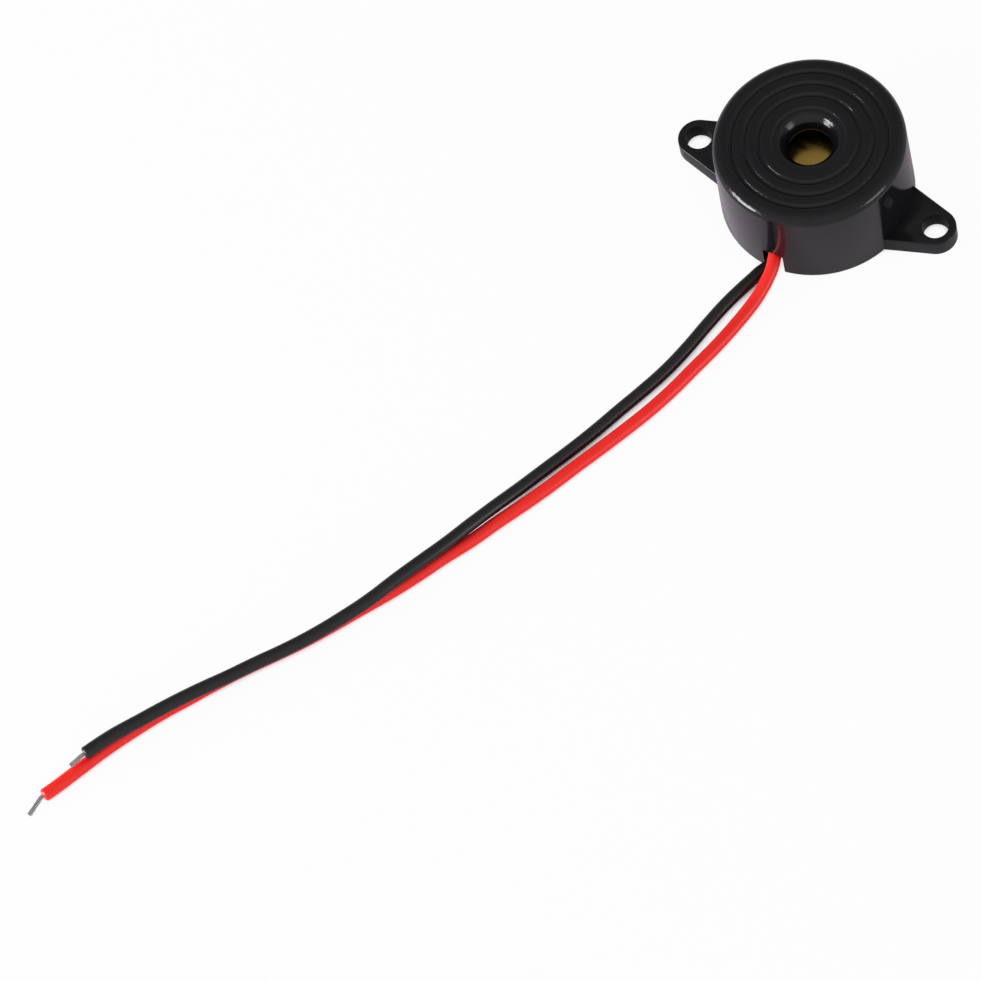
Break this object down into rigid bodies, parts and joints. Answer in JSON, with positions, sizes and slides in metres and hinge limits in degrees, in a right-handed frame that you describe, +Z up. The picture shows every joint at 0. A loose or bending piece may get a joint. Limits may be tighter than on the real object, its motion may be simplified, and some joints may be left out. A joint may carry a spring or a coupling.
{
  "type": "piezo buzzer",
  "caption": "Round black piezo buzzer with a grooved top, a sound funnel, drilled mounting ears and red and black flying leads.",
  "frame": {"origin": "centre of the case's base, on the plane that it stands on", "axes": "+Z up through the sound hole, +X along the line of the two ear holes, the leads leave towards -Y"},
  "size_m": [0.0622, 0.1172, 0.0115],
  "materials": {
    "case_plastic": "polished black ABS moulding",
    "cover_plastic": "black ABS moulding",
    "disc_brass": "rolled brass",
    "piezo_ceramic": "fired piezo ceramic",
    "electrode_silver": "fired silver film",
    "seal_silicone": "white silicone",
    "board_laminate": "phenolic paper board",
    "track_copper": "copper foil",
    "component_plastic": "moulded epoxy",
    "tinned_metal": "tinned copper",
    "chip_ceramic": "glazed chip",
    "choke_ferrite": "sintered ferrite",
    "wire_copper": "enamelled copper wire",
    "solder": "solder",
    "glue": "hot-melt glue",
    "red_insulation": "red PVC",
    "black_insulation": "black PVC"
  },
  "bodies": {
    "root": {"case": "case_plastic", "back_cover": "cover_plastic", "sound_disc": "disc_brass", "piezo_ceramic": "piezo_ceramic", "main_electrode": "electrode_silver", "feedback_electrode": "electrode_silver", "disc_seal": "seal_silicone", "circuit_board": "board_laminate", "board_tracks": "track_copper", "transistor_body": "component_plastic", "transistor_legs": "tinned_metal", "load_resistor": "chip_ceramic", "bias_resistor": "chip_ceramic", "feedback_resistor": "chip_ceramic", "resistor_caps": "tinned_metal", "choke_core": "choke_ferrite", "choke_winding": "wire_copper", "drive_wire": "wire_copper", "feedback_wire": "wire_copper", "ground_wire": "wire_copper", "disc_solder": "solder", "board_solder": "solder", "lead_glue": "glue", "red_lead": "red_insulation", "red_strands": "tinned_metal", "black_lead": "black_insulation", "black_strands": "tinned_metal"}
  },
  "joints": []
}
